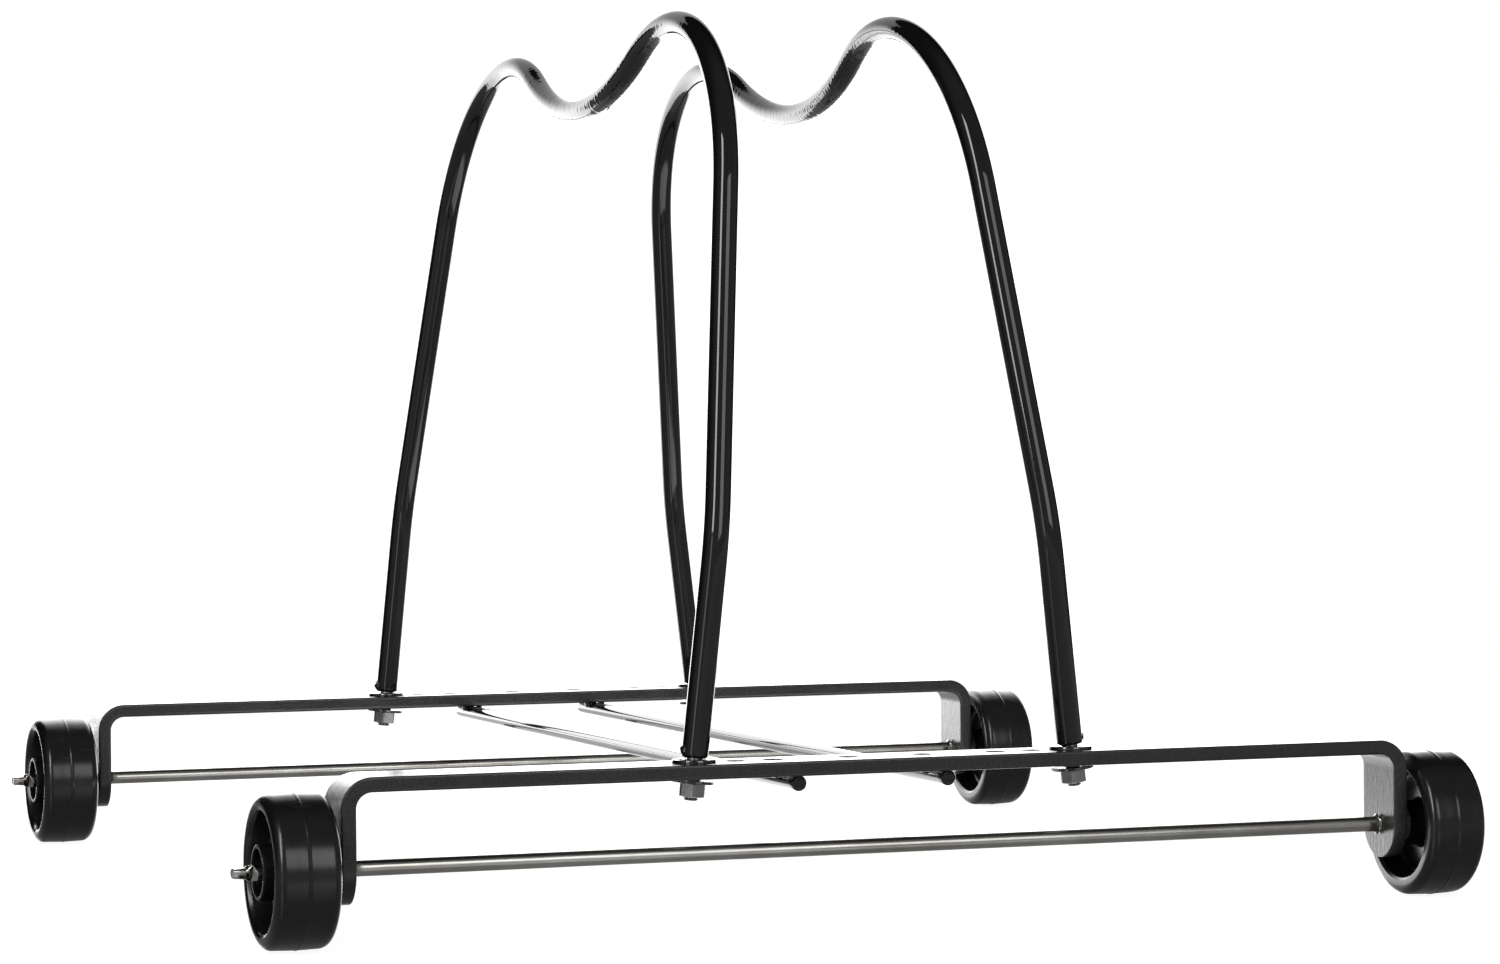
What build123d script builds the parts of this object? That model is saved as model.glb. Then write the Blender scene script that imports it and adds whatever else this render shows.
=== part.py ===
from build123d import *
import math
import os

os.makedirs("parts", exist_ok=True)

# Rolling stand: two flat steel bars on four small wheels, joined by two cross rods,
# carrying two bent-rod hoops with an M-shaped top that lean towards each other.
# X runs along the bars, Y from the front bar to the rear bar, Z up. The origin is on
# the floor, midway between the four wheels.

# Wheels
wheel_d = 76.2
wheel_w = 32.5
wheel_half_span = 305.5  # from the middle of the stand to a wheel's centre plane
bar_half_gap = 294.0  # from the middle of the stand to a bar's centre line
hub_r_outer = 13.3
hub_r_inner = 11.0
hub_proud = 1.0
hub_wall = 1.6  # the hub's outer end is a thin ring round a recess
hub_recess = 9.0
sleeve_r = 6.3  # bearing sleeve inside that recess
sleeve_recess = 4.0
rim_r = 29.6
dish_r_in = 29.0  # mouth of the dish on the inner face
web_half_t = 3.0
web_fillet = 1.5
seam_h = 0.25
seam_w = 0.7
shoulder_r = 5.0
crown = ((4.0, 0.06), (8.0, 0.22))  # tread drop at distances from the middle
crown_edge = 0.42
hub_gap = 0.5  # between a hub's inner end and the bar's leg

# Flat bars
bar_w = 35.0
bar_t = 7.5
bar_top = 83.3
bar_half_len = 285.5
bend_r_in = 8.0
bar_edge_r = 0.8
hole_r = 5.25
spare_holes = (20.0, 60.0, 80.0)
hoop_hole_x = 101.6

# Axles
axle_r = 7.94 / 2
running_gap = 0.08
axle_half_len = 335.0
ear_reach = 1.5
ear_len = 2.2
ear_t = 2.2
end_gap = 0.4
end_ear_half = 5.2  # pinched ears that keep a wheel on, turned about the axle
end_ear_t = 2.6
end_ear_len = 4.0
end_ear_turn = 38.0
flat_t = 4.8
flat_w = 6.3
flat_run = 5.5

# Cross rods under the bars
rod_r = 4.0
rod_half_len = 305.0
rod_x = {"left": -50.0, "right": 30.0}
bead_r = 2.6
bead_len = 8.0

# Hoops: a round rod bent in one plane, then leaned inwards
hoop_r = 6.75
hoop_lean = 6.2
hoop_foot_round = 1.2
hoop_start = 2.6
kink_y = 296.0
kink_h = 116.0
kink_r = 170.0
crest_y = 229.5
crest_h = 433.0
crest_r = 115.0
dip_h = 323.0
dip_r = 206.0

# Hoop fixings, 5/16 inch
stud_r = 7.94 / 2
stud_low = -18.9
weld_neck_r = 4.9
weld_top_r = 5.4
weld_h = 0.3
weld_blob_r = 3.9
weld_blob_out = 4.4
weld_blob_up = 3.1
washer_r = 22.2 / 2
washer_hole_r = 9.5 / 2
washer_t = 1.6
nut_flats = 12.7
nut_h = 6.75
nut_chamfer = 0.9
nut_face_r = 6.2
nut_turn = {"left_front": -11, "right_front": -24, "left_rear": -15, "right_rear": -20}

axle_z = wheel_d / 2
nut_corner_r = nut_flats / 2 / math.cos(math.pi / 6)
bar_bottom = bar_top - bar_t
rod_z = bar_bottom - rod_r
leg_in = bar_half_len - bar_t
round_half = wheel_half_span + wheel_w / 2 + hub_proud + 0.3
lean_sin = math.sin(math.radians(hoop_lean))
lean_cos = math.cos(math.radians(hoop_lean))
washer_low = -(bar_t + washer_r * lean_sin) / lean_cos

rows = {"front": -bar_half_gap, "rear": bar_half_gap}
sides = {"left": -1, "right": 1}


def save(part, name):
    part.label = name
    export_step(part, f"parts/{name}.step")


# The two bars, each bent down at both ends into a leg with a round foot
for row, y in rows.items():
    with BuildPart() as bar:
        with BuildSketch(Plane.XZ.offset(-y)):
            with BuildLine():
                Polyline(
                    (-bar_half_len, axle_z - bar_w),
                    (-bar_half_len, bar_top),
                    (bar_half_len, bar_top),
                    (bar_half_len, axle_z - bar_w),
                    (leg_in, axle_z - bar_w),
                    (leg_in, bar_bottom),
                    (-leg_in, bar_bottom),
                    (-leg_in, axle_z - bar_w),
                    close=True,
                )
            corners = make_face().vertices()
            fillet(corners.filter_by(lambda v: abs(v.Y - bar_top) < 1), bend_r_in + bar_t)
            fillet(corners.filter_by(lambda v: abs(v.Y - bar_bottom) < 1), bend_r_in)
        extrude(amount=bar_w / 2, both=True)
        with BuildSketch(Plane.YZ):
            with Locations((y, (axle_z + bar_top) / 2)):
                Rectangle(bar_w, bar_top - axle_z)
            with Locations((y, axle_z)):
                Circle(bar_w / 2)
        extrude(amount=bar_half_len, both=True, mode=Mode.INTERSECT)
        outline = bar.faces().filter_by(Axis.Y).edges()
        fillet(outline, bar_edge_r)
        with Locations(Plane.XY.offset(bar_top)):
            with Locations(*[(s * x, y) for s in (-1, 1) for x in (*spare_holes, hoop_hole_x)]):
                Hole(hole_r, depth=bar_t)
        with Locations(Plane.YZ.offset(bar_half_len)):
            with Locations((y, axle_z)):
                Hole(axle_r + running_gap, depth=2 * bar_half_len)
    save(bar.part, f"{row}_bar")


# Cross rods, welded up against the underside of both bars
for side, x in rod_x.items():
    with BuildPart() as rod:
        with Locations(Plane.XZ):
            with Locations((x, rod_z)):
                Cylinder(rod_r, 2 * rod_half_len)
        fillet(rod.edges().filter_by(GeomType.CIRCLE), 1.0)
    save(rod.part, f"cross_rod_{side}")
    for row, y in rows.items():
        inward = -math.copysign(1, y)
        bead_y = y + inward * (bar_w - bead_len) / 2
        with BuildPart() as bead:
            with Locations(Plane.XZ.offset(-bead_y)):
                with Locations(*[(x + s * (rod_r + 0.2), bar_bottom - bead_r / 2) for s in (-1, 1)]):
                    Cylinder(bead_r, bead_len)
            fillet(bead.edges().filter_by(GeomType.CIRCLE), 1.2)
            with Locations(Plane.XZ):
                with Locations((x, rod_z)):
                    Cylinder(rod_r, 2 * rod_half_len, mode=Mode.SUBTRACT)
            with Locations((x, bead_y, bar_bottom)):
                Box(40, 40, 40, align=(Align.CENTER, Align.CENTER, Align.MIN), mode=Mode.SUBTRACT)
        save(bead.part, f"rod_weld_{side}_{row}")

# Axles: a round rod with a pair of pinched ears inside each leg and flattened ends
for row, y in rows.items():
    with BuildPart() as axle:
        with Locations(Plane.YZ):
            with Locations((y, axle_z)):
                Cylinder(axle_r, 2 * round_half)
        for s in (-1, 1):
            ear_x = s * (leg_in - end_gap - ear_len / 2)
            with Locations((ear_x, y, axle_z)):
                Box(ear_len, ear_t, 2 * (axle_r + ear_reach))
            with Locations((s * (round_half + end_ear_len / 2), y, axle_z)):
                Box(end_ear_len, end_ear_t, 2 * end_ear_half, rotation=(end_ear_turn, 0, 0))
            with BuildSketch(Plane.YZ.offset(s * round_half)):
                with Locations((y, axle_z)):
                    Circle(axle_r - 0.15)
            with BuildSketch(Plane.YZ.offset(s * (round_half + flat_run))):
                with Locations((y, axle_z)):
                    RectangleRounded(flat_w, flat_t, 1.2)
            loft()
            with BuildSketch(Plane.YZ.offset(s * (round_half + flat_run))):
                with Locations((y, axle_z)):
                    RectangleRounded(flat_w, flat_t, 1.2)
            extrude(amount=s * (axle_half_len - round_half - flat_run))
        ears = axle.edges().filter_by(Axis.X).filter_by(lambda e: abs(e.length - ear_len) < 0.01)
        fillet(ears, 0.6)
    save(axle.part, f"axle_{row}")

# Wheels: moulded, dished on both faces, with a raised seam round the tread
half = wheel_w / 2
tread_r = wheel_d / 2 - seam_h
bore_r = axle_r + running_gap
hub_in = bar_half_len + hub_gap - wheel_half_span
hub_out = half + hub_proud
# distance from the centre plane towards the outer face, and radius
inner_face = [
    (hub_in, bore_r),
    (hub_in, hub_r_inner - 2.0),
    (-half + 1.5, hub_r_inner),
    (-web_half_t - web_fillet, hub_r_inner + 1.0),
    (-web_half_t, hub_r_inner + 2.5),
    (-web_half_t, dish_r_in - 2.8),
    (-web_half_t - web_fillet, dish_r_in - 1.5),
    (-half + 1.4, dish_r_in - 0.5),
    (-half + 0.3, dish_r_in + 0.1),
    (-half, dish_r_in + 0.9),
]
tread = [
    (-half + shoulder_r - 0.1, tread_r - crown_edge),
    *[(-x, tread_r - drop) for x, drop in reversed(crown)],
    (-seam_w, tread_r),
    (-seam_w / 3, wheel_d / 2),
    (seam_w / 3, wheel_d / 2),
    (seam_w, tread_r),
    *[(x, tread_r - drop) for x, drop in crown],
    (half - shoulder_r + 0.1, tread_r - crown_edge),
]
outer_face = [
    (half, tread_r - shoulder_r),
    (half - 0.4, rim_r + 0.8),
    (half - 1.0, rim_r),
    (web_half_t + web_fillet, rim_r - 1.6),
    (web_half_t, rim_r - 3.0),
    (web_half_t, hub_r_outer + 1.6),
    (web_half_t + web_fillet, hub_r_outer + 0.6),
    (hub_out - 0.4, hub_r_outer),
    (hub_out, hub_r_outer - 0.4),
    (hub_out, hub_r_outer - hub_wall),
    (hub_out - hub_recess, hub_r_outer - hub_wall - 0.3),
    (hub_out - hub_recess, sleeve_r + 0.3),
    (hub_out - sleeve_recess, sleeve_r),
    (hub_out - sleeve_recess, bore_r),
]
for side, s in sides.items():
    for row, y in rows.items():
        place = Plane((s * wheel_half_span, y, axle_z), x_dir=(s, 0, 0), z_dir=(0, -s, 0))
        with BuildPart() as wheel:
            with BuildSketch(place):
                with BuildLine():
                    Polyline(*inner_face)
                    lip = Line(inner_face[-1], (-half, tread_r - shoulder_r))
                    RadiusArc(lip @ 1, tread[0], shoulder_r)
                    Polyline(*tread)
                    RadiusArc(tread[-1], outer_face[0], shoulder_r)
                    Polyline(*outer_face)
                    Line(outer_face[-1], inner_face[0])
                make_face()
            revolve(axis=Axis((0, y, axle_z), (1, 0, 0)))
        save(wheel.part, f"wheel_{side}_{row}")

# Hoops
hoops = {}
for side, s in sides.items():
    up = (-s * lean_sin, 0, lean_cos)
    base = Plane((s * hoop_hole_x, 0, bar_top), x_dir=(0, 1, 0), z_dir=(up[2], 0, -up[0]))
    with BuildPart() as hoop:
        with BuildLine(base) as path:
            Polyline(
                (-bar_half_gap, 0),
                (-kink_y, kink_h),
                (-crest_y, crest_h),
                (0, dip_h),
                (crest_y, crest_h),
                (kink_y, kink_h),
                (bar_half_gap, 0),
            )
            inside = path.vertices().sort_by(Axis.Z)[2:]
            fillet(inside[:2], kink_r)
            dip = path.vertices().sort_by(lambda v: abs(v.Y))[0]
            fillet(dip, dip_r)
            crests = path.vertices().sort_by(Axis.Z)[-2:]
            fillet(crests, crest_r)
        with BuildSketch(Plane(path.line @ 0, z_dir=path.line % 0)):
            Circle(hoop_r)
        sweep(path=path.line)
        split(bisect_by=Plane((s * hoop_hole_x, 0, bar_top), z_dir=up).offset(hoop_start), keep=Keep.TOP)
        fillet(hoop.faces().filter_by(GeomType.PLANE).edges(), hoop_foot_round)
    save(hoop.part, f"hoop_{side}")
    hoops[side] = hoop.part

# Hoop fixings: a stud welded into each foot, a washer above and below the bar, a nut
for side, s in sides.items():
    up = (-s * lean_sin, 0, lean_cos)
    for row, y in rows.items():
        base = Plane((s * hoop_hole_x, y, bar_top), x_dir=(0, 1, 0), z_dir=up)
        with BuildPart() as stud:
            with Locations(base.offset(stud_low)):
                Cylinder(stud_r, hoop_start - stud_low, align=(Align.CENTER, Align.CENTER, Align.MIN))
            chamfer(stud.edges().filter_by(GeomType.CIRCLE).sort_by(Axis.Z)[0], 0.7)
        save(stud.part, f"stud_{side}_{row}")

        foot = base.offset(hoop_start)
        blob_at = foot.from_local_coords((0, -s * weld_blob_out, weld_blob_up))
        with BuildPart() as weld:
            with Locations(foot.offset(-weld_h)):
                Cone(weld_neck_r, weld_top_r, weld_h, align=(Align.CENTER, Align.CENTER, Align.MIN))
            with Locations(blob_at):
                Sphere(weld_blob_r)
            add(hoops[side], mode=Mode.SUBTRACT)
            add(stud.part, mode=Mode.SUBTRACT)
        save(weld.part, f"stud_weld_{side}_{row}")

        with BuildPart() as upper:
            with Locations((s * hoop_hole_x, y, bar_top)):
                Cylinder(washer_r, washer_t, align=(Align.CENTER, Align.CENTER, Align.MIN))
                Hole(washer_hole_r, depth=washer_t * 2)
            fillet(upper.edges().filter_by(GeomType.CIRCLE).group_by(Axis.Z)[-1], 0.35)
        save(upper.part, f"upper_washer_{side}_{row}")

        with BuildPart() as lower:
            with Locations(base.offset(washer_low)):
                Cylinder(washer_r, washer_t, align=(Align.CENTER, Align.CENTER, Align.MAX))
                Hole(washer_hole_r, depth=washer_t * 2)
        save(lower.part, f"lower_washer_{side}_{row}")

        nut_plane = base.offset(washer_low - washer_t - nut_h)
        with BuildPart() as nut:
            with BuildSketch(nut_plane):
                RegularPolygon(nut_flats / 2, 6, major_radius=False, rotation=nut_turn[f"{side}_{row}"])
            extrude(amount=nut_h)
            with BuildSketch(Plane(nut_plane.origin, x_dir=nut_plane.x_dir, z_dir=nut_plane.y_dir)):
                with BuildLine():
                    Polyline(
                        (0, 0),
                        (nut_face_r, 0),
                        (nut_corner_r + 0.1, -nut_chamfer / 2),
                        (nut_corner_r + 0.1, -nut_h + nut_chamfer / 2),
                        (nut_face_r, -nut_h),
                        (0, -nut_h),
                        close=True,
                    )
                make_face()
            revolve(axis=Axis(nut_plane.origin, nut_plane.z_dir), mode=Mode.INTERSECT)
            with Locations(nut_plane):
                Hole(stud_r, depth=nut_h * 2)
        save(nut.part, f"nut_{side}_{row}")
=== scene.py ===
"""Rolling hoop stand: two black flat bars on wheels, two cross rods, two bent hoops bolted on."""

import math

import bmesh
import bpy
from mathutils import Matrix, Vector, noise


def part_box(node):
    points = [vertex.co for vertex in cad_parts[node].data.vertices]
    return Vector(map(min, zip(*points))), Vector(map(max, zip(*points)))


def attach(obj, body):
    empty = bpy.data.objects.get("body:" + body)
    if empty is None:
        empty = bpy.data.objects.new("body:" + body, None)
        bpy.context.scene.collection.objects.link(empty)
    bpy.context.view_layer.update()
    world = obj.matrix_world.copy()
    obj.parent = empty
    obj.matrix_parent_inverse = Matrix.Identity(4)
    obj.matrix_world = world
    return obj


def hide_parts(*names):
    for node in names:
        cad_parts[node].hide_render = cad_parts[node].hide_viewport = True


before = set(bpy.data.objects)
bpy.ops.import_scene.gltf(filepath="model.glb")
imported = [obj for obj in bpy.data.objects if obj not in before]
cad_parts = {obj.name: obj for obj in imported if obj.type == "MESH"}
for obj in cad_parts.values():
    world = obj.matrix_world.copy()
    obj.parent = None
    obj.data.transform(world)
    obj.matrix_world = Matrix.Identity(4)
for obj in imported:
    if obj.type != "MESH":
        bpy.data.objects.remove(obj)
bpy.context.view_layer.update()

# ---------------------------------------------------------------- sizes, in metres
MM = 0.001
ROWS = ("front", "rear")
SIDES = {"left": -1, "right": 1}

WHEEL_R = 38.1 * MM
WHEEL_HALF = 16.25 * MM
HUB_R_OUTER = 13.3 * MM
HUB_R_INNER = 11.0 * MM
HUB_PROUD = 1.0 * MM
HUB_WALL = 1.6 * MM
HUB_RECESS = 9.0 * MM
SLEEVE_R = 6.3 * MM
SLEEVE_RECESS = 4.0 * MM
RIM_R = 29.6 * MM
DISH_R_IN = 29.0 * MM
SHOULDER_R = 5.0 * MM
WEB_HALF = 3.0 * MM
BORE_R = 4.05 * MM

BAR_W = 35.0 * MM
BAR_T = 7.5 * MM
BEND_R_IN = 8.0 * MM
BAR_EDGE = 0.8 * MM
BAR_SHARP, WELD_SHARP = 50, 50  # degrees
HOLE_R = 5.25 * MM
HOOP_X = 101.6 * MM
HOLE_X = (20.0 * MM, 60.0 * MM, 80.0 * MM, HOOP_X)

AXLE_R = 3.97 * MM
AXLE_HOLE_R = AXLE_R + 0.08 * MM
AXLE_ROUND_END = 323.05 * MM
END_EAR_TURN = 38  # degrees
HOOP_R = 6.75 * MM
HOOP_SKIN = 0.06 * MM  # keeps the smooth rod inside the faceted one
HOOP_LEAN = math.radians(6.2)
HOOP_START = 2.6 * MM
HOOP_FOOT_ROUND = 1.2 * MM
# corners and bends of a hoop in its own plane, (along y, up), between the feet
HOOP_CORNERS = [(-0.296, 0.116), (-0.2295, 0.433), (0, 0.323), (0.2295, 0.433), (0.296, 0.116)]
HOOP_BENDS = [0.170, 0.115, 0.206, 0.115, 0.170]
STUD_R = 3.97 * MM
STUD_LOW = -18.9 * MM
STUD_PLAIN_FROM = 17 * MM
THREAD_PITCH = 25.4 / 18 * MM
THREAD_DEPTH = 0.75 * MM
WASHER_R = 11.1 * MM
WASHER_HOLE_R = 4.75 * MM
WASHER_T = 1.6 * MM
NUT_FLATS = 12.7 * MM
NUT_H = 6.75 * MM
NUT_FACE_R = 6.2 * MM
NUT_CHAMFER = 0.45 * MM
# degrees
NUT_TURN = {"left_front": -11, "right_front": -24, "left_rear": -15, "right_rear": -20}
ROD_R = 4.0 * MM
ROD_END_ROUND = 1.2 * MM

FRONT_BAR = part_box("front_bar")
BAR_TOP = FRONT_BAR[1].z
BAR_HALF_LEN = FRONT_BAR[1].x
AXLE_Z = FRONT_BAR[0].z + BAR_W / 2
ROW_Y = {row: sum(c.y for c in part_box(f"{row}_bar")) / 2 for row in ROWS}


# ---------------------------------------------------------------- mesh helpers
def link(name, mesh):
    """Puts a mesh into the scene as an object."""
    obj = bpy.data.objects.new(name, mesh)
    bpy.context.scene.collection.objects.link(obj)
    return obj


def smooth(mesh, sharp):
    """Shades a mesh smooth but for edges steeper than sharp degrees."""
    mesh.polygons.foreach_set("use_smooth", [True] * len(mesh.polygons))
    mesh.set_sharp_from_angle(angle=math.radians(sharp))


def make_object(name, verts, faces, sharp=40):
    """A mesh object with outward normals, smooth but for edges steeper than sharp."""
    mesh = bpy.data.meshes.new(name)
    mesh.from_pydata([tuple(v) for v in verts], [], faces)
    work = bmesh.new()
    work.from_mesh(mesh)
    bmesh.ops.remove_doubles(work, verts=work.verts, dist=1e-7)
    bmesh.ops.recalc_face_normals(work, faces=work.faces)
    work.to_mesh(mesh)
    work.free()
    smooth(mesh, sharp)
    return link(name, mesh)


def skin(name, rings, loop=False, sharp=40):
    """A surface through rings of points; loop joins the last ring to the first, else both ends are capped."""
    count = len(rings[0])
    verts = [p for ring in rings for p in ring]
    faces = []
    for i in range(len(rings) if loop else len(rings) - 1):
        a, b = i * count, (i + 1) % len(rings) * count
        for j in range(count):
            k = (j + 1) % count
            faces.append((a + j, a + k, b + k, b + j))
    if not loop:
        for start, ring in ((0, rings[0]), ((len(rings) - 1) * count, rings[-1])):
            verts.append(sum((Vector(p) for p in ring), Vector()) / count)
            centre = len(verts) - 1
            faces += [(start + j, start + (j + 1) % count, centre) for j in range(count)]
    return make_object(name, verts, faces, sharp)


def rounded(points, radii, step, arc_step=None):
    """Samples of a 2-D polyline whose inner corners are rounded to radii, as Vectors."""
    pts = [Vector(p) for p in points]
    arc_step = arc_step or step
    out = [pts[0]]

    def run_to(target):
        start = out[-1]
        parts = max(1, round((target - start).length / step))
        out.extend(start.lerp(target, i / parts) for i in range(1, parts + 1))

    for a, b, c, r in zip(pts, pts[1:], pts[2:], radii):
        u, v = (a - b).normalized(), (c - b).normalized()
        half = u.angle(v) / 2
        if r <= 0 or half > math.radians(89.9):
            run_to(b)
            continue
        reach = r / math.tan(half)
        centre = b + (u + v).normalized() * (r / math.sin(half))
        run_to(b + u * reach)
        start, end = b + u * reach - centre, b + v * reach - centre
        turn = start.angle_signed(end)
        parts = max(3, math.ceil(abs(turn) * r / arc_step))
        for i in range(1, parts + 1):
            out.append(centre + Matrix.Rotation(-turn * i / parts, 2) @ start)
    run_to(pts[-1])
    return out


def ring_about(origin, axis, side, along, count, radius_at):
    """count points about an axis, a distance along it; radius_at takes the point's number and angle."""
    ring = []
    for i in range(count):
        t = 2 * math.pi * i / count
        outward = side * math.cos(t) + axis.cross(side) * math.sin(t)
        ring.append(origin + axis * along + outward * radius_at(i, t))
    return ring


def lathe(name, profile, origin, axis, side, segments, loop=True, sharp=40):
    """Turns a profile of (along, radius) about an axis through origin."""
    rings = [ring_about(origin, axis, side, along, segments, lambda i, t, r=radius: r)
             for along, radius in profile]
    return skin(name, rings, loop=loop, sharp=sharp)


def tube(name, path, frames, radius_at, around):
    """A round tube along path; frames gives two unit vectors across it at each sample."""
    rings = []
    for i, (p, (u, v)) in enumerate(zip(path, frames)):
        r = radius_at(i)
        rings.append([p + (u * math.cos(t) + v * math.sin(t)) * r
                      for t in (2 * math.pi * j / around for j in range(around))])
    return skin(name, rings)


def end_round(distance, radius, corner):
    """Radius of a rod a distance from its end, whose corner is rounded."""
    if distance >= corner:
        return radius
    return radius - corner + math.sqrt(max(0.0, corner**2 - (corner - distance) ** 2))


def stand_in(obj, node, body, material):
    """obj is shown in the place of a CAD node."""
    obj.data.materials.clear()
    obj.data.materials.append(material)
    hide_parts(node)
    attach(obj, body)
    return obj


def cut(obj, cutters):
    """Takes the cutters out of obj for good."""
    for cutter in cutters:
        change = obj.modifiers.new("cut", "BOOLEAN")
        change.operation = "DIFFERENCE"
        change.solver = "EXACT"
        change.object = cutter
    bpy.context.view_layer.update()
    done = bpy.data.meshes.new_from_object(obj.evaluated_get(bpy.context.evaluated_depsgraph_get()))
    obj.modifiers.clear()
    obj.data = done
    for cutter in cutters:
        bpy.data.objects.remove(cutter)


# ---------------------------------------------------------------- materials
def set_range(node, low, high, to_low, to_high):
    """Sets the four limits of a Map Range node."""
    for socket, number in (("From Min", low), ("From Max", high), ("To Min", to_low), ("To Max", to_high)):
        node.inputs[socket].default_value = number


class Look:
    """A Principled material and short ways to add nodes to it."""

    def __init__(self, name, **sockets):
        self.material = bpy.data.materials.new(name)
        self.material.use_nodes = True
        self.tree = self.material.node_tree
        self.shader = self.tree.nodes["Principled BSDF"]
        for socket, value in sockets.items():
            self.shader.inputs[socket.replace("_", " ")].default_value = value
        self.place = self.tree.nodes.new("ShaderNodeTexCoord").outputs["Object"]

    def add(self, kind, **settings):
        node = self.tree.nodes.new(kind)
        for key, value in settings.items():
            setattr(node, key, value)
        return node

    def feed(self, socket, value):
        if isinstance(value, bpy.types.NodeSocket):
            self.tree.links.new(value, socket)
        else:
            socket.default_value = value

    def stretched(self, scale):
        node = self.add("ShaderNodeMapping")
        self.feed(node.inputs["Vector"], self.place)
        node.inputs["Scale"].default_value = scale
        return node.outputs["Vector"]

    def noise(self, size, detail=3.0, stretch=(1, 1, 1)):
        """Noise of about size metres; stretch lengthens it along an axis."""
        node = self.add("ShaderNodeTexNoise")
        scale = tuple(1 / (size * s) for s in stretch)
        self.feed(node.inputs["Vector"], self.stretched(scale))
        node.inputs["Scale"].default_value = 1.0
        node.inputs["Detail"].default_value = detail
        return node.outputs["Fac"]

    def cells(self, size):
        """Distance to the middle of round cells of about size metres."""
        node = self.add("ShaderNodeTexVoronoi", feature="SMOOTH_F1")
        self.feed(node.inputs["Vector"], self.stretched((1 / size,) * 3))
        node.inputs["Scale"].default_value = 1.0
        return node.outputs["Distance"]

    def spread(self, value, low, high, to_low=0.0, to_high=1.0):
        node = self.add("ShaderNodeMapRange")
        self.feed(node.inputs["Value"], value)
        set_range(node, low, high, to_low, to_high)
        return node.outputs["Result"]

    def maths(self, operation, a, b):
        node = self.add("ShaderNodeMath", operation=operation)
        self.feed(node.inputs[0], a)
        self.feed(node.inputs[1], b)
        return node.outputs[0]

    def axis(self, letter):
        node = self.add("ShaderNodeSeparateXYZ")
        self.feed(node.inputs[0], self.place)
        return node.outputs[letter]

    def mix(self, value, low, high):
        """low to high as value goes from 0 to 1; each is an RGB colour or a socket."""
        node = self.add("ShaderNodeMix", data_type="RGBA")
        self.feed(node.inputs["Factor"], value)
        for socket, colour in (("A", low), ("B", high)):
            self.feed(node.inputs[socket], (*colour, 1) if isinstance(colour, tuple) else colour)
        return node.outputs["Result"]

    def bump(self, height, distance, strength=1.0, over=None):
        node = self.add("ShaderNodeBump")
        self.feed(node.inputs["Height"], height)
        node.inputs["Distance"].default_value = distance
        node.inputs["Strength"].default_value = strength
        if over is not None:
            self.feed(node.inputs["Normal"], over)
        return node.outputs["Normal"]

    def set(self, socket, value):
        self.feed(self.shader.inputs[socket], value)


def bar_paint():
    """Charcoal paint over hot-rolled steel: pitted, streaky along the bar and down the legs' inner faces."""
    look = Look("bar_paint", Specular_IOR_Level=0.5, IOR=1.5)
    grain = look.noise(0.8 * MM, 4)
    pits = look.spread(look.cells(1.7 * MM), 0.05, 0.42)
    along_bar = look.noise(1.0 * MM, 3, (9, 1, 1))
    down_leg = look.noise(0.8 * MM, 4, (1, 1, 7))
    leg_in = BAR_HALF_LEN - BAR_T
    on_leg = look.spread(look.maths("ABSOLUTE", look.axis("X"), 0), leg_in - 2 * MM, leg_in)
    leg_streaks = look.maths("MULTIPLY", down_leg, look.maths("MULTIPLY", on_leg, 6.0))
    streaks = look.maths("ADD", leg_streaks, along_bar)
    patches = look.noise(14 * MM, 3)
    paint = look.mix(patches, (0.012, 0.0115, 0.012), (0.026, 0.022, 0.021))
    look.set("Base Color", look.mix(look.spread(grain, 0.35, 0.7), paint, (0.034, 0.032, 0.032)))
    look.set("Roughness", look.spread(look.maths("ADD", grain, patches), 0.7, 1.4, 0.15, 0.28))
    normal = look.bump(patches, 0.08 * MM, 0.3)
    normal = look.bump(streaks, 0.05 * MM, 0.5, normal)
    normal = look.bump(pits, 0.06 * MM, 0.4, normal)
    look.set("Normal", look.bump(grain, 0.03 * MM, 0.5, normal))
    return look.material


def gloss_black(name="gloss_black", weld=False):
    """Dipped gloss black: orange peel, and wrinkles over the hoops' dips; rougher on a weld."""
    look = Look(name, IOR=1.5)
    peel = look.noise(2.6 * MM, 2)
    fine = look.noise(0.5 * MM, 3)
    dust = look.spread(look.noise(0.7 * MM, 1), 0.76, 0.80)
    black = look.mix(look.noise(30 * MM, 2), (0.0055, 0.0055, 0.006), (0.0095, 0.009, 0.0095))
    look.set("Base Color", look.mix(dust, black, (0.05, 0.05, 0.05)))
    rough = (0.16, 0.30) if weld else (0.03, 0.07)
    look.set("Roughness", look.spread(fine, 0.3, 0.7, *rough))
    normal = look.bump(peel, (0.25 if weld else 0.012) * MM, 0.5)
    if not weld:
        wrinkles = look.noise(2.4 * MM, 1, (5, 1, 5))
        over_dip = look.spread(look.maths("ABSOLUTE", look.axis("Y"), 0), 0.05, 0.22, 1, 0.15)
        bent = look.maths("MULTIPLY", look.spread(look.axis("Z"), 0.39, 0.42), over_dip)
        normal = look.bump(look.maths("MULTIPLY", wrinkles, bent), 0.22 * MM, 0.6, normal)
    look.set("Normal", normal)
    return look.material


def zinc():
    """Dull zinc plate: slightly cloudy, with a faint yellow-blue tint."""
    look = Look("zinc", Metallic=1.0)
    cloud = look.noise(4 * MM, 3)
    grain = look.noise(0.35 * MM, 3)
    look.set("Base Color", look.mix(cloud, (0.22, 0.235, 0.26), (0.36, 0.36, 0.345)))
    look.set("Roughness", look.spread(look.maths("ADD", cloud, grain), 0.7, 1.4, 0.18, 0.38))
    normal = look.bump(cloud, 0.05 * MM, 0.5)
    look.set("Normal", look.bump(grain, 0.02 * MM, 0.5, normal))
    return look.material


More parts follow.
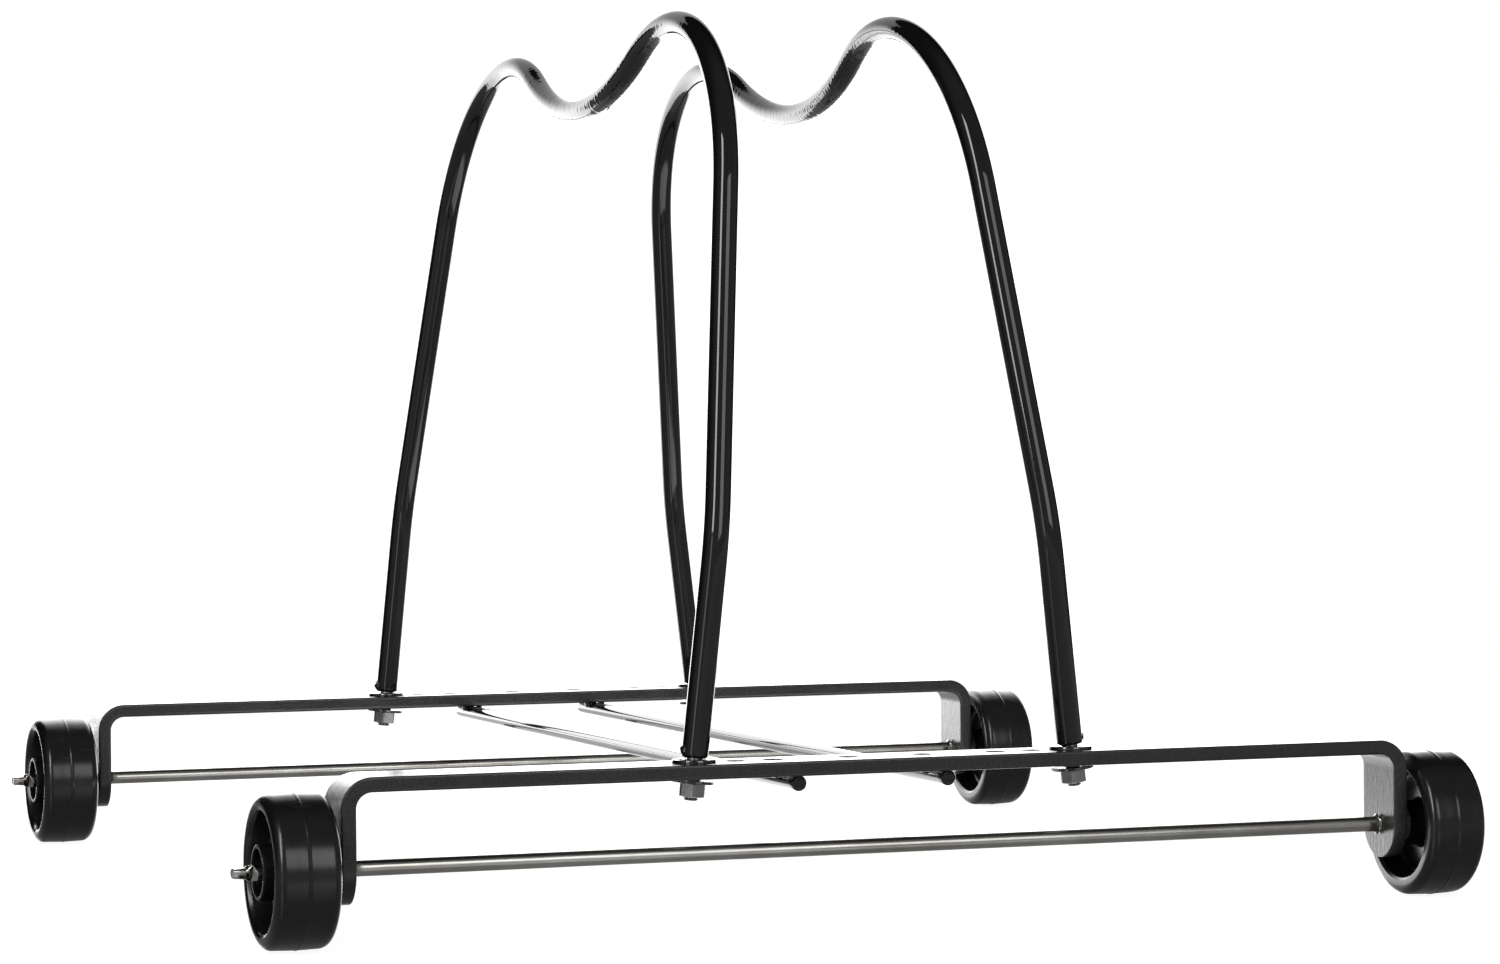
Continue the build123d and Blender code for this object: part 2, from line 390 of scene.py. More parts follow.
def dark_washer():
    """Dark plated washer: near black, with a dull grey bloom."""
    look = Look("dark_plate", Metallic=1.0)
    cloud = look.noise(3 * MM, 3)
    grain = look.noise(0.35 * MM, 3)
    bloom = look.spread(cloud, 0.35, 0.75)
    look.set("Base Color", look.mix(bloom, (0.055, 0.055, 0.06), (0.16, 0.16, 0.16)))
    look.set("Roughness", look.spread(look.maths("ADD", cloud, grain), 0.7, 1.4, 0.08, 0.20))
    look.set("Normal", look.bump(grain, 0.01 * MM, 0.4))
    return look.material


def bright_steel():
    """Drawn steel rod: fine lines along its length, a brownish bloom in places."""
    look = Look("bright_steel", Metallic=1.0)
    lines = look.noise(0.30 * MM, 4, (90, 1, 1))
    long_lines = look.noise(1.2 * MM, 2, (160, 1, 1))
    bloom = look.spread(look.noise(45 * MM, 3), 0.42, 0.70)
    steel = look.mix(look.spread(lines, 0.3, 0.7), (0.44, 0.44, 0.415), (0.62, 0.615, 0.585))
    look.set("Base Color", look.mix(look.maths("MULTIPLY", bloom, 0.5), steel, (0.27, 0.235, 0.20)))
    look.set("Roughness", look.spread(long_lines, 0.35, 0.65, 0.18, 0.32))
    normal = look.bump(long_lines, 0.05 * MM, 0.5)
    look.set("Normal", look.bump(lines, 0.02 * MM, 0.6, normal))
    return look.material


def wheel_plastic():
    """Moulded black plastic: glossy, with faint flow marks and scuffs on the tread."""
    look = Look("wheel_plastic", IOR=1.5)
    flow = look.noise(16 * MM, 3)
    grain = look.noise(0.5 * MM, 3)
    scuffs = look.spread(look.noise(3.5 * MM, 4, (3, 1, 1)), 0.60, 0.75)
    plastic = look.mix(flow, (0.0050, 0.0050, 0.0056), (0.0085, 0.0082, 0.0088))
    look.set("Base Color", look.mix(scuffs, plastic, (0.013, 0.0128, 0.0128)))
    look.set("Roughness", look.maths("ADD", look.spread(flow, 0.3, 0.7, 0.19, 0.26),
                                     look.maths("MULTIPLY", scuffs, 0.08)))
    normal = look.bump(flow, 0.12 * MM, 0.4)
    look.set("Normal", look.bump(grain, 0.010 * MM, 0.5, normal))
    return look.material


PAINT = bar_paint()
BLACK = gloss_black()
WELD = gloss_black("weld_black", weld=True)
ZINC = zinc()
DARK = dark_washer()
STEEL = bright_steel()
PLASTIC = wheel_plastic()


# ---------------------------------------------------------------- flat bars
def bar_ring(half_w, long_parts=28, short_parts=5, corner_parts=3):
    """A rounded rectangle in (across, outward), centred on zero."""
    half_t = BAR_T / 2
    corner = min(BAR_EDGE, half_w * 0.9)
    ring = []
    flat_ends = (
        (-(half_w - corner), half_t),
        (-half_w, -(half_t - corner)),
        (half_w - corner, -half_t),
        (half_w, half_t - corner),
    )
    quarters = ((1, 1, 0), (-1, 1, 90), (-1, -1, 180), (1, -1, 270))
    for (cx, cy, start), flat_end in zip(quarters, flat_ends):
        centre = Vector((cx * (half_w - corner), cy * (half_t - corner)))
        for i in range(corner_parts + 1):
            t = math.radians(start + 90 * i / corner_parts)
            ring.append(centre + Vector((math.cos(t), math.sin(t))) * corner)
        parts = long_parts if start in (0, 180) else short_parts
        last = ring[-1].copy()
        ring += [last.lerp(Vector(flat_end), i / parts) for i in range(1, parts)]
    return ring


def flat_bar(row):
    """A bar bent down at both ends, with round feet and a slightly uneven painted skin."""
    y = ROW_Y[row]
    mid_x, mid_top, foot = BAR_HALF_LEN - BAR_T / 2, BAR_TOP - BAR_T / 2, BAR_W / 2
    bend = BEND_R_IN + BAR_T / 2
    centre_line = [(-mid_x, AXLE_Z), (-mid_x, mid_top), (mid_x, mid_top), (mid_x, AXLE_Z)]
    line = rounded(centre_line, [bend, bend], 1.3 * MM)
    low = [math.radians(a) for a in (89, 86, 82, 77, 71, 65, 58, 51, 44, 37, 30, 23, 16, 8)]
    left = [(Vector((-mid_x, AXLE_Z - foot * math.sin(a))), foot * math.cos(a)) for a in low]
    right = [(Vector((mid_x, p.y)), w) for p, w in reversed(left)]
    samples = left + [(p, foot) for p in line] + right
    rings = []
    for i, (p, half_w) in enumerate(samples):
        before, after = samples[max(0, i - 1)][0], samples[min(len(samples) - 1, i + 1)][0]
        along = (after - before).normalized()
        outward = Vector((-along.y, along.x))
        ring = []
        for across, out in bar_ring(half_w):
            flat = p + outward * out
            point = Vector((flat.x, y + across, flat.y))
            dent = noise.noise(point / (3.2 * MM)) + 0.5 * noise.noise(point / (1.5 * MM))
            depth = (0.035 + 0.028 * dent) * MM
            facing = math.copysign(1, out)
            inward = Vector((-outward.x * facing, 0, -outward.y * facing))
            ring.append(point + inward * depth)
        rings.append(ring)
    bar = skin(f"{row}_flat_bar", rings, sharp=BAR_SHARP)
    through, across, up = Vector((1, 0, 0)), Vector((0, 1, 0)), Vector((0, 0, 1))
    flared = [(-BAR_T - 0.1 * MM, HOLE_R + 0.55 * MM), (-BAR_T + 0.12 * MM, HOLE_R + 0.15 * MM),
              (-BAR_T + 0.5 * MM, HOLE_R), (-0.5 * MM, HOLE_R), (-0.12 * MM, HOLE_R + 0.15 * MM),
              (0.1 * MM, HOLE_R + 0.55 * MM)]
    straight = [(-BAR_T, AXLE_HOLE_R), (BAR_T, AXLE_HOLE_R)]
    cutters = [lathe("cutter", flared, Vector((s * x, y, BAR_TOP)), up, through, 64, False)
               for s in (-1, 1) for x in HOLE_X]
    cutters += [lathe("cutter", straight, Vector((s * mid_x, y, AXLE_Z)), through, across, 64, False)
                for s in (-1, 1)]
    cut(bar, cutters)
    smooth(bar.data, BAR_SHARP)
    stand_in(bar, f"{row}_bar", "frame", PAINT)


for row in ROWS:
    flat_bar(row)


# ---------------------------------------------------------------- hoops
def hoop_frame(side):
    """Foot point at bar height, the leaned up direction and the direction across the hoop's plane."""
    s = SIDES[side]
    up = Vector((-s * math.sin(HOOP_LEAN), 0, math.cos(HOOP_LEAN)))
    return Vector((s * HOOP_X, 0, BAR_TOP)), up, Vector((up.z, 0, -up.x))


def hoop(side):
    """One bent rod, from a foot cut square to the lean at each bar."""
    foot, up, out = hoop_frame(side)
    half = ROW_Y["rear"]
    line = rounded([(-half, 0), *HOOP_CORNERS, (half, 0)], HOOP_BENDS, 2.5 * MM, 1.6 * MM)
    line = [p for p in line if p.y > HOOP_START + 3 * MM]
    near_foot = [d * MM for d in (1.6, 1.2, 0.8, 0.45, 0.2, 0.05, 0)]
    for end in (0, -1):
        first, other = line[end], line[1 if end == 0 else -2]
        along = (first - other).normalized()
        total = (first.y - HOOP_START) / -along.y
        extra = [first + along * (total - d) for d in near_foot]
        line = [*reversed(extra), *line] if end == 0 else [*line, *extra]
    path = [foot + Vector((0, p.x, 0)) + up * p.y for p in line]
    lengths = [0.0]
    for a, b in zip(path, path[1:]):
        lengths.append(lengths[-1] + (b - a).length)
    frames = []
    for i in range(len(path)):
        along = (path[min(i + 1, len(path) - 1)] - path[max(i - 1, 0)]).normalized()
        frames.append((out, along.cross(out)))

    def radius(i):
        return end_round(min(lengths[i], lengths[-1] - lengths[i]), HOOP_R - HOOP_SKIN, HOOP_FOOT_ROUND)

    piece = tube(f"{side}_bent_hoop", path, frames, radius, 48)
    stand_in(piece, f"hoop_{side}", "frame", BLACK)


for side in SIDES:
    hoop(side)


# ---------------------------------------------------------------- hoop fixings
def threaded(name, origin, axis, side, length):
    """A stud up from origin, with a helical thread below a plain upper part."""
    around = 48
    count = round(length / (0.16 * MM))
    rings = []
    for i in range(count + 1):
        along = length * i / count
        run_out = min(1.0, max(0.0, (STUD_PLAIN_FROM - along) / (1.2 * MM)))
        tip = STUD_R - 0.75 * MM + along * 1.0

        def radius(j, t, along=along, run_out=run_out, tip=tip):
            phase = (along / THREAD_PITCH - j / around) % 1.0
            tooth = 1 - abs(2 * phase - 1)
            groove = THREAD_DEPTH * min(1.0, max(0.0, 1.15 - 1.45 * tooth))
            return min(STUD_R - 0.05 * MM - groove * run_out, tip)

        rings.append(ring_about(origin, axis, side, along, around, radius))
    return skin(name, rings, sharp=60)


def hex_nut(name, origin, axis, side, turn):
    """A hexagon nut with turned chamfers at both faces and a bore, down from origin."""
    around = 96
    apothem = NUT_FLATS / 2
    over_corners = apothem / math.cos(math.pi / 6)
    slope = NUT_CHAMFER / (over_corners + 0.1 * MM - NUT_FACE_R)
    rings = []
    levels = [0, 0.08, 0.16, 0.26, 0.38, 0.5, 0.8, 1.6, 3.0]
    for depth in [d * MM for d in levels] + [NUT_H - d * MM for d in reversed(levels)]:
        cone = NUT_FACE_R + min(depth, NUT_H - depth) / slope

        def outline(j, t, cone=cone):
            """The hexagon, no wider than the chamfer cone at this depth."""
            local = (t - turn) % (math.pi / 3) - math.pi / 6
            return min(apothem / math.cos(local), over_corners - 0.25 * MM, cone)

        rings.append(ring_about(origin, axis, side, -depth, around, outline))
    wide, bore = STUD_R + 0.9 * MM, STUD_R + 0.05 * MM
    for depth, radius in ((NUT_H, wide), (NUT_H - 0.7 * MM, bore), (0.7 * MM, bore), (0, wide)):
        rings.append(ring_about(origin, axis, side, -depth, around, lambda j, t, r=radius: r))
    return skin(name, rings, loop=True, sharp=30)


def washer(name, origin, axis, side):
    """A stamped washer from origin along axis: square on the near face, rolled edge on the far one."""
    r, t, edge = WASHER_R, WASHER_T, 0.45 * MM
    profile = [
        (0.02 * MM, WASHER_HOLE_R + 0.1 * MM),
        (0, WASHER_HOLE_R + 0.2 * MM),
        (0, r - 0.15 * MM),
        (0.12 * MM, r),
        (t - edge, r),
        (t - edge * 0.4, r - edge * 0.25),
        (t - edge * 0.1, r - edge * 0.65),
        (t, r - edge * 1.2),
        (t, WASHER_HOLE_R + edge * 1.3),
        (t - edge * 0.2, WASHER_HOLE_R + edge * 0.5),
        (t - edge, WASHER_HOLE_R),
    ]
    return lathe(name, profile, origin, axis, side, 96, sharp=30)


def weld_bead(name, centre, radius, seed, squash=(1, 1, 1), rough=0.12, ceiling=None):
    """A lumpy drop of weld metal under paint, cut flat at the ceiling."""
    work = bmesh.new()
    bmesh.ops.create_icosphere(work, subdivisions=5, radius=1.0)
    for v in work.verts:
        coarse = noise.noise(v.co * 1.6 + Vector((seed, 0, 0)))
        lump = coarse + 0.5 * noise.noise(v.co * 4.0 + Vector((0, seed, 0)))
        grown = v.co * radius * (1 - rough + rough * lump)
        v.co = centre + Vector(g * s for g, s in zip(grown, squash))
        if ceiling is not None:
            v.co.z = min(v.co.z, ceiling)
    mesh = bpy.data.meshes.new(name)
    work.to_mesh(mesh)
    work.free()
    return link(name, mesh)


def join(name, parts):
    """One object out of several meshes."""
    work = bmesh.new()
    for part in parts:
        work.from_mesh(part.data)
    mesh = bpy.data.meshes.new(name)
    work.to_mesh(mesh)
    work.free()
    smooth(mesh, WELD_SHARP)
    for part in parts:
        bpy.data.objects.remove(part)
    return link(name, mesh)


for number, side in enumerate(SIDES):
    s = SIDES[side]
    foot, up, out = hoop_frame(side)
    for row in ROWS:
        y = ROW_Y[row]
        base = foot + Vector((0, y, 0))
        spot = f"{side}_{row}"
        stud = threaded(f"stud_thread_{spot}", base + up * STUD_LOW, up, out, HOOP_START - STUD_LOW)
        stand_in(stud, f"stud_{spot}", "frame", ZINC)

        neck = [(-0.3 * MM, 4.9 * MM), (-0.15 * MM, 5.2 * MM), (0.1 * MM, 5.4 * MM), (0.6 * MM, 5.4 * MM)]
        collar = lathe("collar", neck, base + up * HOOP_START, up, out, 64, loop=False)
        seed = 7.0 * number + (3.0 if row == "front" else 5.0)
        blob_at = base + up * (HOOP_START + 3.1 * MM) + out * (s * 4.4 * MM)
        blob = weld_bead("blob", blob_at, 3.95 * MM, seed)
        second_at = base + up * (HOOP_START + 2.2 * MM) + out * (s * 3.4 * MM) + Vector((0, -2.6 * MM, 0))
        second = weld_bead("blob", second_at, 2.6 * MM, seed + 1)
        bead = join(f"stud_bead_{spot}", [collar, blob, second])
        stand_in(bead, f"stud_weld_{spot}", "frame", WELD)

        on_bar = Vector((base.x, y, BAR_TOP))
        upper = washer(f"washer_top_{spot}", on_bar, Vector((0, 0, 1)), Vector((1, 0, 0)))
        stand_in(upper, f"upper_washer_{spot}", "frame", DARK)
        low_at = -(BAR_T + WASHER_R * math.sin(HOOP_LEAN)) / math.cos(HOOP_LEAN)
        lower = washer(f"washer_low_{spot}", base + up * low_at, -up, out)
        stand_in(lower, f"lower_washer_{spot}", "frame", DARK)
        nut_at = base + up * (low_at - WASHER_T)
        across = Vector((0, 1, 0))
        nut = hex_nut(f"hex_nut_{spot}", nut_at, up, across, math.radians(NUT_TURN[spot]))
        stand_in(nut, f"nut_{spot}", "frame", ZINC)


# ---------------------------------------------------------------- cross rods
def cross_rod(side):
    """A straight rod under both bars, and two weld beads at each bar."""
    low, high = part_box(f"cross_rod_{side}")
    x, z = (low.x + high.x) / 2, (low.z + high.z) / 2
    stops = [0, 0.05, 0.2, 0.45, 0.8, 1.2]
    ends = [low.y + d * MM for d in stops]
    count = 150
    straight = high.y - low.y - 2 * ROD_END_ROUND
    middle = [low.y + ROD_END_ROUND + straight * i / count for i in range(1, count)]
    ys = ends + middle + [high.y - d * MM for d in reversed(stops)]
    path = [Vector((x, y, z)) for y in ys]

    def radius(i):
        return end_round(min(ys[i] - low.y, high.y - ys[i]), ROD_R, ROD_END_ROUND)

    rod = tube(f"{side}_cross_rod", path, [(Vector((1, 0, 0)), Vector((0, 0, 1)))] * len(path), radius, 40)
    stand_in(rod, f"cross_rod_{side}", "frame", BLACK)
    for row in ROWS:
        node = f"rod_weld_{side}_{row}"
        low_w, high_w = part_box(node)
        beads = []
        for j, edge in enumerate((low_w.x + 2.4 * MM, high_w.x - 2.4 * MM)):
            centre = Vector((edge, (low_w.y + high_w.y) / 2, high_w.z - 1.1 * MM))
            bead = weld_bead("bead", centre, 2.35 * MM, 11.0 * j + x * 100, (0.98, 1.65, 1.0), 0.16,
                             ceiling=high_w.z)
            beads.append(bead)
        stand_in(join(f"rod_bead_{side}_{row}", beads), node, "frame", WELD)


for side in SIDES:
    cross_rod(side)


# ---------------------------------------------------------------- axles
def axle(row):
    """A drawn rod pinched inside each leg, with flattened and sheared ends."""
    low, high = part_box(f"axle_{row}")
    y, z, end = (low.y + high.y) / 2, (low.z + high.z) / 2, high.x
    ear_x = BAR_HALF_LEN - BAR_T - 0.4 * MM - 1.1 * MM
    round_end, tilt_out = AXLE_ROUND_END, END_EAR_TURN
    # station along x, half width in y, half height in z, squareness (2 is round), turn in degrees
    key = [
        (0, AXLE_R, AXLE_R, 2.0, 0),
        (ear_x - 1.9 * MM, AXLE_R, AXLE_R, 2.0, 0),
        (ear_x - 0.9 * MM, 3.2 * MM, 4.5 * MM, 2.0, 0),
        (ear_x - 0.35 * MM, 2.5 * MM, 5.4 * MM, 2.2, 0),
        (ear_x + 0.35 * MM, 2.5 * MM, 5.4 * MM, 2.2, 0),
        (ear_x + 0.8 * MM, 3.2 * MM, 4.5 * MM, 2.0, 0),
        (ear_x + 1.1 * MM, AXLE_R - 0.05 * MM, AXLE_R - 0.05 * MM, 2.0, 0),
        (round_end - 5 * MM, AXLE_R - 0.05 * MM, AXLE_R - 0.05 * MM, 2.0, tilt_out),
        (round_end, AXLE_R - 0.05 * MM, AXLE_R - 0.05 * MM, 2.0, tilt_out),
        (round_end + 1.0 * MM, 2.5 * MM, 4.7 * MM, 2.3, tilt_out),
        (round_end + 2.1 * MM, 1.35 * MM, 5.2 * MM, 2.8, tilt_out),
        (round_end + 3.0 * MM, 1.45 * MM, 5.1 * MM, 2.8, tilt_out),
        (round_end + 4.2 * MM, 2.3 * MM, 4.2 * MM, 2.5, tilt_out),
        (round_end + 5.5 * MM, 2.9 * MM, 2.7 * MM, 3.0, 14),
        (end - 1.2 * MM, 3.12 * MM, 2.42 * MM, 4.0, 2),
        (end - 0.15 * MM, 3.12 * MM, 2.38 * MM, 4.5, 0),
        (end, 2.95 * MM, 2.2 * MM, 4.5, 0),
    ]
    fine = []
    for a, b in zip(key, key[1:]):
        span = b[0] - a[0]
        parts = max(1, round(span / (0.3 * MM if span < 10 * MM else 4 * MM)))
        for i in range(parts):
            t = i / parts
            ease = t * t * (3 - 2 * t)
            fine.append((a[0] + span * t, *(p + (q - p) * ease for p, q in zip(a[1:], b[1:]))))
    fine.append(key[-1])
    stations = [(-x, *rest) for x, *rest in reversed(fine[1:])] + fine
    around = 56
    rings = []
    for x, half_y, half_z, power, turn in stations:
        tilt = math.radians(turn)
        ring = []
        for j in range(around):
            t = 2 * math.pi * j / around
            c, sn = math.cos(t), math.sin(t)
            grow = (abs(c) ** power + abs(sn) ** power) ** (-1 / power)
            a, b = half_y * c * grow, half_z * sn * grow
            shear = 0.6 * b if abs(x) > end - 0.2 * MM else 0
            ring.append(Vector((
                x - math.copysign(shear, x) * 0.25,
                y + a * math.cos(tilt) - b * math.sin(tilt),
                z + a * math.sin(tilt) + b * math.cos(tilt),
            )))
        rings.append(ring)
    piece = skin(f"{row}_drawn_axle", rings, sharp=35)
    stand_in(piece, f"axle_{row}", f"axle_{row}", STEEL)


for row in ROWS:
    axle(row)


# ---------------------------------------------------------------- wheels
def wheel(side, row):
    """A moulded wheel: crowned tread with its parting seam, a dish each side, a long hub."""
    node = f"wheel_{side}_{row}"
    low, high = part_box(node)
    s = SIDES[side]
    outer_x = high.x if s > 0 else -low.x
    centre = Vector((s * (outer_x - WHEEL_HALF - HUB_PROUD), (low.y + high.y) / 2, (low.z + high.z) / 2))
    half, tread = WHEEL_HALF, WHEEL_R - 0.25 * MM
    hub_in = -(outer_x - WHEEL_HALF - HUB_PROUD) + BAR_HALF_LEN + 0.5 * MM
    hub_out = half + HUB_PROUD
    # corner of the section as (along, radius), and the radius it is rounded to
    corners = [
        ((hub_in, BORE_R + 0.4 * MM), 0),
        ((hub_in, HUB_R_INNER - 2.0 * MM), 0.5 * MM),
        ((-half + 1.5 * MM, HUB_R_INNER), 1.0 * MM),
        ((-WEB_HALF, HUB_R_INNER + 1.2 * MM), 1.6 * MM),
        ((-WEB_HALF, DISH_R_IN - 2.0 * MM), 2.2 * MM),
        ((-half + 0.9 * MM, DISH_R_IN - 0.4 * MM), 0.9 * MM),
        ((-half, DISH_R_IN + 1.0 * MM), 0.6 * MM),
        ((-half, tread - 0.42 * MM), SHOULDER_R),
        ((-8.0 * MM, tread - 0.22 * MM), 0),
        ((-4.0 * MM, tread - 0.06 * MM), 0),
        ((-0.45 * MM, tread), 0),
        ((-0.12 * MM, WHEEL_R - 0.03 * MM), 0),
        ((0.12 * MM, WHEEL_R - 0.03 * MM), 0),
        ((0.45 * MM, tread), 0),
        ((4.0 * MM, tread - 0.06 * MM), 0),
        ((8.0 * MM, tread - 0.22 * MM), 0),
        ((half, tread - 0.42 * MM), SHOULDER_R),
        ((half, RIM_R + 2.0 * MM), 1.2 * MM),
        ((half - 0.7 * MM, RIM_R + 0.4 * MM), 0.2 * MM),
        ((half - 2.5 * MM, RIM_R - 0.3 * MM), 0.7 * MM),
        ((WEB_HALF + 0.5 * MM, RIM_R - 1.9 * MM), 2.0 * MM),
        ((WEB_HALF, HUB_R_OUTER + 1.0 * MM), 1.8 * MM),
        ((hub_out, HUB_R_OUTER), 0.25 * MM),
        ((hub_out, HUB_R_OUTER - HUB_WALL), 0.25 * MM),
        ((hub_out - HUB_RECESS, HUB_R_OUTER - HUB_WALL - 0.3 * MM), 0.6 * MM),
        ((hub_out - HUB_RECESS, SLEEVE_R + 0.3 * MM), 0.5 * MM),
        ((hub_out - SLEEVE_RECESS, SLEEVE_R), 0.4 * MM),
        ((hub_out - SLEEVE_RECESS, BORE_R + 0.4 * MM), 0),
        ((hub_out - SLEEVE_RECESS - 0.4 * MM, BORE_R), 0),
    ]
    points = [p for p, _ in corners]
    radii = [r for _, r in corners[1:-1]]
    profile = rounded(points, radii, 0.9 * MM, 0.3 * MM)
    name = node.replace("wheel", "moulded_wheel")
    obj = lathe(name, profile, centre, Vector((s, 0, 0)), Vector((0, 0, 1)), 180, sharp=38)
    stand_in(obj, node, node, PLASTIC)


for side in SIDES:
    for row in ROWS:
        wheel(side, row)


# ---------------------------------------------------------------- stage, light and camera
FLOOR_SIZE = 30.0
FLOOR_SEEN = 0.93  # brightness to the camera near the object; white beyond FLOOR_WHITENS
FLOOR_WHITENS = (0.8, 2.5)
FLOOR_SHADOW = (0.2, 0.2, 0.2)
# what the object's gloss mirrors: a dim floor with a bright patch, a dim room in front, a bright sheet behind
FLOOR_GLOW = 0.22
UNDERGLOW, UNDERGLOW_FADE = 2.1, 0.06
UNDERGLOW_X, UNDERGLOW_Y = (-0.12, 0.36), (-0.22, 0.06)
ROOM_FRONT, ROOM_HEIGHT, ROOM_GLOW = (-0.3, 0.5), (0.1, 0.8), (0.28, 0.17)
BACKDROP_X, BACKDROP_Y, BACKDROP_TOP = (-0.39, 1.30), 0.75, 1.15
BACKDROP_FADE, BACKDROP_GLOW = (0.35, 0.85), (4.5, 0.8)

CAMERA_PLACE = (-0.795955, -2.311463, 0.250807)
CAMERA_AZIMUTH, CAMERA_DOWN, CAMERA_ROLL = 0.34498, 0.01362, -0.00811
SENSOR_WIDTH = 36.0
CAMERA_LENS = 4317.02 / 1500 * SENSOR_WIDTH


def quad(name, corners):
    """A flat rectangle with no material yet."""
    mesh = bpy.data.meshes.new(name)
    mesh.from_pydata(corners, [], [(0, 1, 2, 3)])
    return link(name, mesh)


def fade(tree, value, low, high, to_low, to_high):
    """A smooth step of value from to_low to to_high."""
    node = tree.nodes.new("ShaderNodeMapRange")
    node.interpolation_type = "SMOOTHSTEP"
    tree.links.new(value, node.inputs["Value"])
    set_range(node, low, high, to_low, to_high)
    return node.outputs["Result"]


def seen(tree, plain, mirrored):
    """plain where the camera looks straight at it, mirrored in what the object reflects."""
    path = tree.nodes.new("ShaderNodeLightPath")
    choose = tree.nodes.new("ShaderNodeMix")
    tree.links.new(path.outputs["Is Camera Ray"], choose.inputs["Factor"])
    tree.links.new(mirrored, choose.inputs["A"])
    choose.inputs["B"].default_value = plain
    return choose.outputs["Result"]


def studio():
    """A floor and room that are white when looked at and mostly dim when mirrored."""
    size = FLOOR_SIZE
    floor = quad("floor", [(-size, -size, 0), (size, -size, 0), (size, size, 0), (-size, size, 0)])
    look = Look("floor", Roughness=0.06, IOR=1.5, Base_Color=(0, 0, 0, 1), Emission_Color=(1, 1, 1, 1))
    place = look.add("ShaderNodeNewGeometry").outputs["Position"]
    split = look.add("ShaderNodeSeparateXYZ")
    look.feed(split.inputs[0], place)
    glow = 1.0
    for letter, (low, high) in (("X", UNDERGLOW_X), ("Y", UNDERGLOW_Y)):
        for edge, outside in ((low, low - UNDERGLOW_FADE), (high, high + UNDERGLOW_FADE)):
            glow = look.maths("MULTIPLY", glow, fade(look.tree, split.outputs[letter], outside, edge, 0, 1))
    look.set("Emission Strength", look.spread(glow, 0, 1, FLOOR_GLOW, UNDERGLOW))
    length = look.add("ShaderNodeVectorMath", operation="LENGTH")
    look.feed(length.inputs[0], place)
    far = fade(look.tree, length.outputs["Value"], *FLOOR_WHITENS, 0, 1)
    shade = look.add("ShaderNodeBsdfDiffuse")
    look.feed(shade.inputs["Color"], look.mix(far, FLOOR_SHADOW, (0, 0, 0)))
    white = look.add("ShaderNodeEmission")
    look.feed(white.inputs["Strength"], look.spread(far, 0, 1, FLOOR_SEEN, 1.0))
    plain = look.add("ShaderNodeAddShader")
    look.feed(plain.inputs[0], shade.outputs[0])
    look.feed(plain.inputs[1], white.outputs[0])
    path = look.add("ShaderNodeLightPath")
    choose = look.add("ShaderNodeMixShader")
    look.feed(choose.inputs["Fac"], path.outputs["Is Camera Ray"])
    look.feed(choose.inputs[1], look.shader.outputs[0])
    look.feed(choose.inputs[2], plain.outputs[0])
    look.feed(look.tree.nodes["Material Output"].inputs["Surface"], choose.outputs[0])
    floor.data.materials.append(look.material)

    world = bpy.data.worlds.new("studio")
    bpy.context.scene.world = world
    world.use_nodes = True
    tree = world.node_tree
    coords = tree.nodes.new("ShaderNodeTexCoord")
    split = tree.nodes.new("ShaderNodeSeparateXYZ")
    tree.links.new(coords.outputs["Generated"], split.inputs[0])
    front = fade(tree, split.outputs["Y"], *ROOM_FRONT, 1, 0)
    low = fade(tree, split.outputs["Z"], *ROOM_HEIGHT, *ROOM_GLOW)
    both = tree.nodes.new("ShaderNodeMath")
    both.operation = "MULTIPLY"
    tree.links.new(front, both.inputs[0])
    tree.links.new(low, both.inputs[1])
    background = tree.nodes["Background"]
    tree.links.new(seen(tree, 1.0, both.outputs[0]), background.inputs["Strength"])
    background.inputs["Color"].default_value = (1, 1, 1, 1)


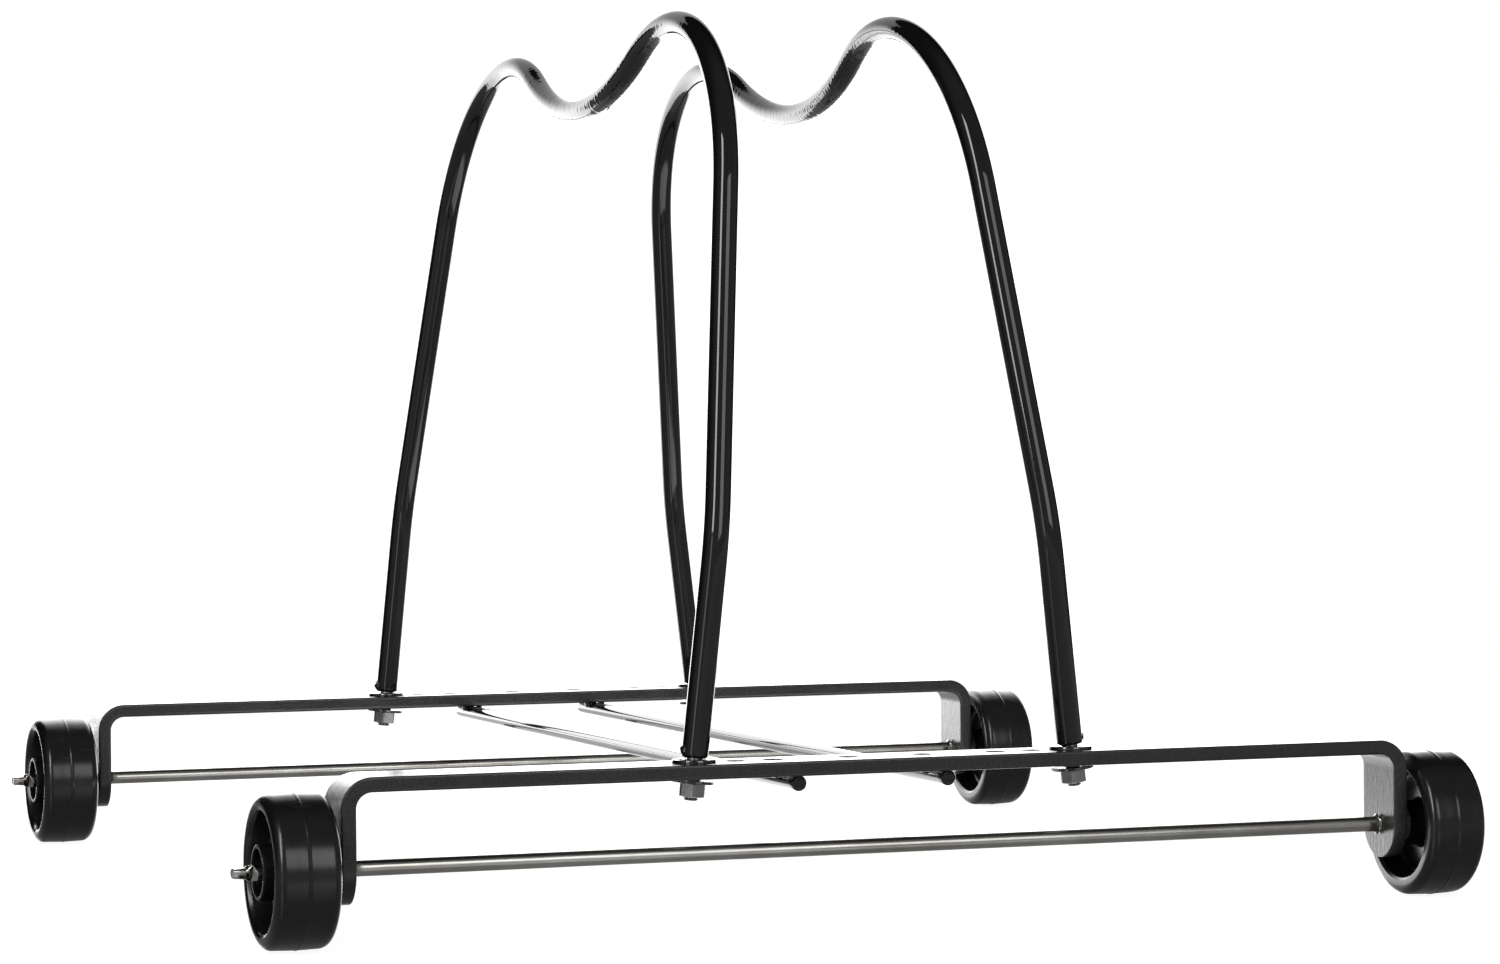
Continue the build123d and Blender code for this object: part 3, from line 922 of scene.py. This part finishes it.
def backdrop():
    """A white sheet standing behind the object, dimmer towards its top; seen only in reflections."""
    (left, right), y, top = BACKDROP_X, BACKDROP_Y, BACKDROP_TOP
    sheet = quad("backdrop", [(left, y, 0), (right, y, 0), (right, y, top), (left, y, top)])
    sheet.visible_camera = False
    look = Look("backdrop", Base_Color=(0, 0, 0, 1), Specular_IOR_Level=0.0, Emission_Color=(1, 1, 1, 1))
    look.set("Emission Strength", fade(look.tree, look.axis("Z"), *BACKDROP_FADE, *BACKDROP_GLOW))
    sheet.data.materials.append(look.material)


def softbox(name, place, target, width, height, radiance):
    """An evenly bright rectangle, seen only in reflections and by its light."""
    light = bpy.data.lights.new(name, "AREA")
    light.shape = "RECTANGLE"
    light.size, light.size_y = width, height
    light.energy = radiance * math.pi * width * height
    obj = bpy.data.objects.new(name, light)
    obj.location = place
    obj.rotation_euler = (Vector(target) - Vector(place)).to_track_quat("-Z", "Y").to_euler()
    obj.visible_camera = False
    bpy.context.scene.collection.objects.link(obj)


def camera():
    """Looks right of straight ahead and a little down, very slightly rolled."""
    azimuth, down, roll = CAMERA_AZIMUTH, CAMERA_DOWN, CAMERA_ROLL
    view = Vector((math.sin(azimuth) * math.cos(down), math.cos(azimuth) * math.cos(down), -math.sin(down)))
    level = Vector((math.cos(azimuth), -math.sin(azimuth), 0))
    upright = level.cross(view)
    right = level * math.cos(roll) + upright * math.sin(roll)
    up = upright * math.cos(roll) - level * math.sin(roll)
    data = bpy.data.cameras.new("camera")
    data.sensor_width, data.lens = SENSOR_WIDTH, CAMERA_LENS
    data.clip_start, data.clip_end = 0.05, 100.0
    obj = bpy.data.objects.new("camera", data)
    matrix = Matrix((right, up, -view)).transposed().to_4x4()
    matrix.translation = Vector(CAMERA_PLACE)
    obj.matrix_world = matrix
    bpy.context.scene.collection.objects.link(obj)
    bpy.context.scene.camera = obj


studio()
backdrop()
softbox("key_right", (0.56, -2.70, 1.10), (0.2, 0, 0.05), 1.3, 1.25, 2.45)
softbox("key_left", (-1.48, -1.34, 1.33), (0, 0, 0.2), 0.5, 1.5, 9.0)
softbox("fill_left", (-1.48, -1.34, 0.30), (0, 0, 0.2), 0.36, 0.5, 1.6)
camera()
bpy.context.scene.view_settings.view_transform = "Standard"
bpy.context.scene.view_settings.look = "None"
